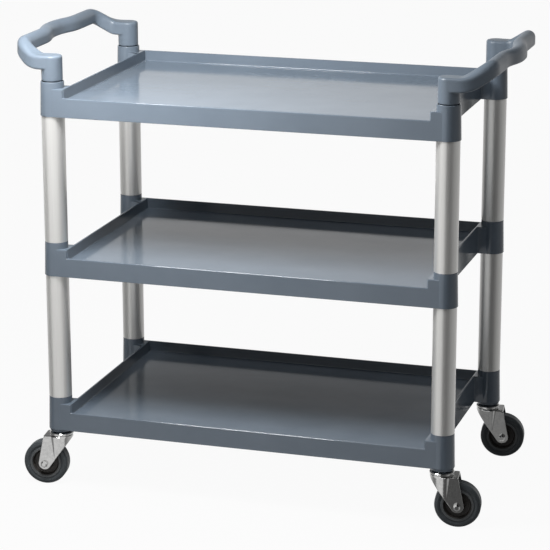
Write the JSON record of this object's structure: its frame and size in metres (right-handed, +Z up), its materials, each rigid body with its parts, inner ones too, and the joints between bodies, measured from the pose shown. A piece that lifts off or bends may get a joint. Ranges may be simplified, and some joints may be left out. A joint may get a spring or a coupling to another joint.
{
  "type": "food service trolley",
  "caption": "Tiered food service trolley: moulded trays with raised rims and a low loading lip on aluminium tube posts, with end push handles and swivel casters.",
  "frame": {"origin": "on the floor under the middle of the trolley", "axes": "+X along the length towards the right-hand handle, +Z up, the low loading lip faces -Y"},
  "size_m": [1.1004, 0.5392, 1.0106],
  "materials": {
    "slate_plastic": "moulded structural plastic, slate blue-grey, satin",
    "brushed_aluminium": "satin anodised round tube",
    "zinc_plated_steel": "bright zinc-plated pressed steel",
    "wheel_core_plastic": "dark moulded plastic",
    "grey_rubber": "dark grey non-marking rubber"
  },
  "bodies": {
    "frame": {"bottom_tray": "slate_plastic", "middle_tray": "slate_plastic", "top_tray": "slate_plastic", "lower_post_front_left": "brushed_aluminium", "lower_post_front_right": "brushed_aluminium", "lower_post_rear_left": "brushed_aluminium", "lower_post_rear_right": "brushed_aluminium", "upper_post_front_left": "brushed_aluminium", "upper_post_front_right": "brushed_aluminium", "upper_post_rear_left": "brushed_aluminium", "upper_post_rear_right": "brushed_aluminium", "left_handle": "slate_plastic", "right_handle": "slate_plastic", "stem_plug_front_left": "slate_plastic", "caster_stem_front_left": "zinc_plated_steel", "swivel_race_front_left": "zinc_plated_steel", "stem_plug_front_right": "slate_plastic", "caster_stem_front_right": "zinc_plated_steel", "swivel_race_front_right": "zinc_plated_steel", "stem_plug_rear_left": "slate_plastic", "caster_stem_rear_left": "zinc_plated_steel", "swivel_race_rear_left": "zinc_plated_steel", "stem_plug_rear_right": "slate_plastic", "caster_stem_rear_right": "zinc_plated_steel", "swivel_race_rear_right": "zinc_plated_steel"},
    "swivel_front_left": {"caster_fork_front_left": "zinc_plated_steel", "axle_bolt_front_left": "zinc_plated_steel", "axle_nut_front_left": "zinc_plated_steel", "axle_sleeve_front_left": "zinc_plated_steel"},
    "wheel_front_left": {"wheel_core_front_left": "wheel_core_plastic", "wheel_tyre_front_left": "grey_rubber"},
    "swivel_front_right": {"caster_fork_front_right": "zinc_plated_steel", "axle_bolt_front_right": "zinc_plated_steel", "axle_nut_front_right": "zinc_plated_steel", "axle_sleeve_front_right": "zinc_plated_steel"},
    "wheel_front_right": {"wheel_core_front_right": "wheel_core_plastic", "wheel_tyre_front_right": "grey_rubber"},
    "swivel_rear_left": {"caster_fork_rear_left": "zinc_plated_steel", "axle_bolt_rear_left": "zinc_plated_steel", "axle_nut_rear_left": "zinc_plated_steel", "axle_sleeve_rear_left": "zinc_plated_steel"},
    "wheel_rear_left": {"wheel_core_rear_left": "wheel_core_plastic", "wheel_tyre_rear_left": "grey_rubber"},
    "swivel_rear_right": {"caster_fork_rear_right": "zinc_plated_steel", "axle_bolt_rear_right": "zinc_plated_steel", "axle_nut_rear_right": "zinc_plated_steel", "axle_sleeve_rear_right": "zinc_plated_steel"},
    "wheel_rear_right": {"wheel_core_rear_right": "wheel_core_plastic", "wheel_tyre_rear_right": "grey_rubber"}
  },
  "joints": [
    {"name": "swivel_front_left", "type": "hinge", "parent": "frame", "child": "swivel_front_left", "pos_m": [-0.439, -0.2325, 0.11046], "axis": [0, 0, 1], "continuous": true},
    {"name": "wheel_spin_front_left", "type": "hinge", "parent": "swivel_front_left", "child": "wheel_front_left", "pos_m": [-0.47424, -0.23683, 0.05037], "axis": [0.1219, -0.9925, 0], "continuous": true},
    {"name": "swivel_front_right", "type": "hinge", "parent": "frame", "child": "swivel_front_right", "pos_m": [0.439, -0.2325, 0.11046], "axis": [0, 0, 1], "continuous": true},
    {"name": "wheel_spin_front_right", "type": "hinge", "parent": "swivel_front_right", "child": "wheel_front_right", "pos_m": [0.47415, -0.22756, 0.05037], "axis": [-0.1392, 0.9903, 0], "continuous": true},
    {"name": "swivel_rear_left", "type": "hinge", "parent": "frame", "child": "swivel_rear_left", "pos_m": [-0.439, 0.2325, 0.11046], "axis": [0, 0, 1], "continuous": true},
    {"name": "wheel_spin_rear_left", "type": "hinge", "parent": "swivel_rear_left", "child": "wheel_rear_left", "pos_m": [-0.47424, 0.22817, 0.05037], "axis": [0.1219, -0.9925, 0], "continuous": true},
    {"name": "swivel_rear_right", "type": "hinge", "parent": "frame", "child": "swivel_rear_right", "pos_m": [0.439, 0.2325, 0.11046], "axis": [0, 0, 1], "continuous": true},
    {"name": "wheel_spin_rear_right", "type": "hinge", "parent": "swivel_rear_right", "child": "wheel_rear_right", "pos_m": [0.47415, 0.23744, 0.05037], "axis": [-0.1392, 0.9903, 0], "continuous": true}
  ]
}
